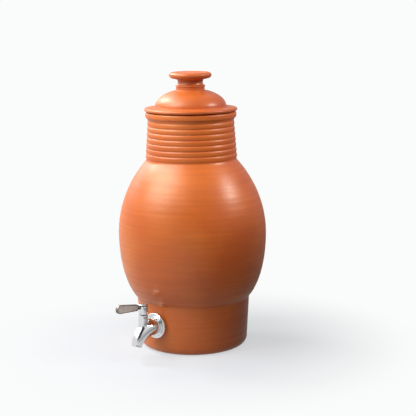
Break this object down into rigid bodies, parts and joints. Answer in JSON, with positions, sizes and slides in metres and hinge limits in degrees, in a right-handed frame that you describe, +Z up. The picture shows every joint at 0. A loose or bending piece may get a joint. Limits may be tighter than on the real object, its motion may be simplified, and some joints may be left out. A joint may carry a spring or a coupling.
{
  "type": "clay water pot with tap",
  "caption": "Lidded terracotta water pot with a round belly, a ribbed neck and a drum foot, drawn off through a quarter-turn steel tap with a flat lever.",
  "frame": {"origin": "centre of the flat foot, on the surface that the pot stands on", "axes": "+Z is up along the pot's axis, the tap points along -Y, +X is to the right of someone who faces the tap"},
  "size_m": [0.194, 0.2427, 0.36],
  "materials": {
    "clay": "matte unglazed terracotta",
    "clay_lid": "matte unglazed terracotta",
    "steel": "polished stainless steel",
    "inner_steel": "turned stainless steel",
    "rubber": "matte",
    "plastic": "smooth white plastic"
  },
  "bodies": {
    "vessel": {"drum": "clay", "belly": "clay", "neck": "clay", "front_gasket": "rubber", "wall_flange": "steel", "tap_body": "steel", "rear_gasket": "rubber", "backing_washer": "inner_steel", "lock_nut": "inner_steel", "valve_sleeve": "plastic", "thrust_washer": "plastic", "bonnet": "inner_steel", "stem_oring": "rubber"},
    "lid": {"lid": "clay_lid"},
    "valve": {"valve_plug": "inner_steel", "lever": "steel", "spring_washer": "inner_steel", "cap_screw": "steel"}
  },
  "joints": [
    {"name": "lid_lift", "type": "slide", "parent": "vessel", "child": "lid", "axis": [0, 0, 1], "range_m": [0, 0.06]},
    {"name": "lever_turn", "type": "hinge", "parent": "vessel", "child": "valve", "pos_m": [0, -0.09808, 0.0594], "axis": [0, 0, 1], "range_deg": [0, 90]}
  ]
}
